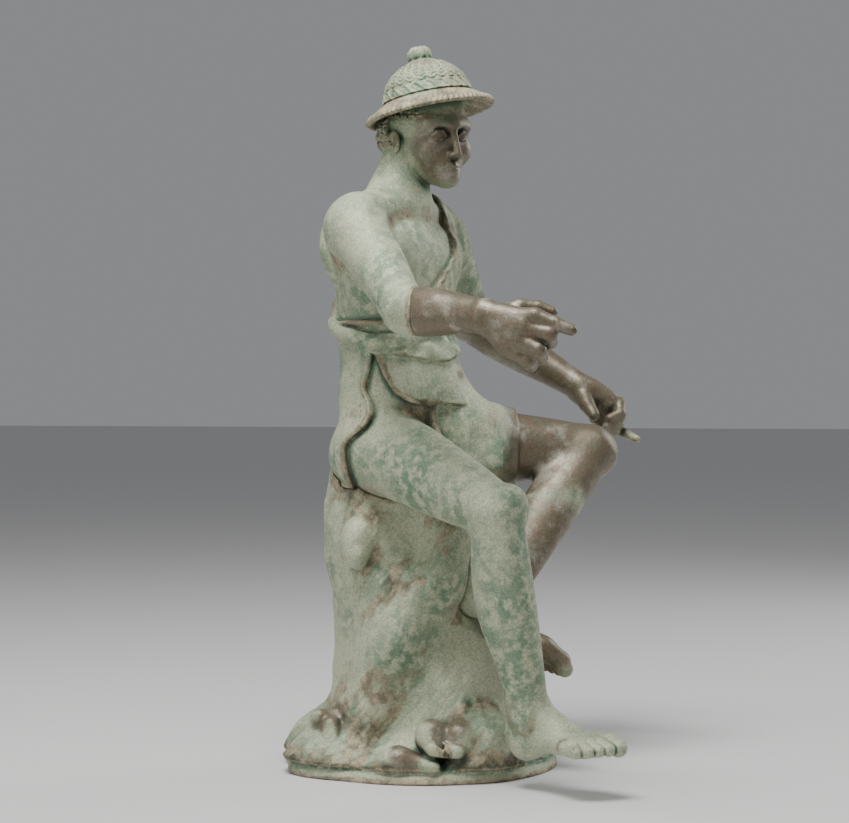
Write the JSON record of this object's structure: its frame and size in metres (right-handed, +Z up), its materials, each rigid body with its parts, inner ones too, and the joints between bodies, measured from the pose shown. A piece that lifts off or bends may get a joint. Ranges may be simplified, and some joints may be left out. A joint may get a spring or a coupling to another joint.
{
  "type": "bronze statue",
  "caption": "Cast bronze statue of a seated young fisherman in a straw hat and short tunic, on a rock base with sea creatures.",
  "frame": {"origin": "middle of the underside of the rock base", "axes": "+Z up, the figure faces -Y, the figure's left side is towards +X"},
  "size_m": [0.3157, 0.3105, 0.5618],
  "materials": {
    "green_bronze": "cast bronze with a pale verdigris patina, deeper green in the hollows and worn brown on the raised forms",
    "brown_bronze": "cast bronze with a thin dark olive brown patina and a dull satin sheen"
  },
  "bodies": {
    "root": {"figure": "green_bronze", "right_forearm": "brown_bronze", "rock_seat": "green_bronze"}
  },
  "joints": []
}
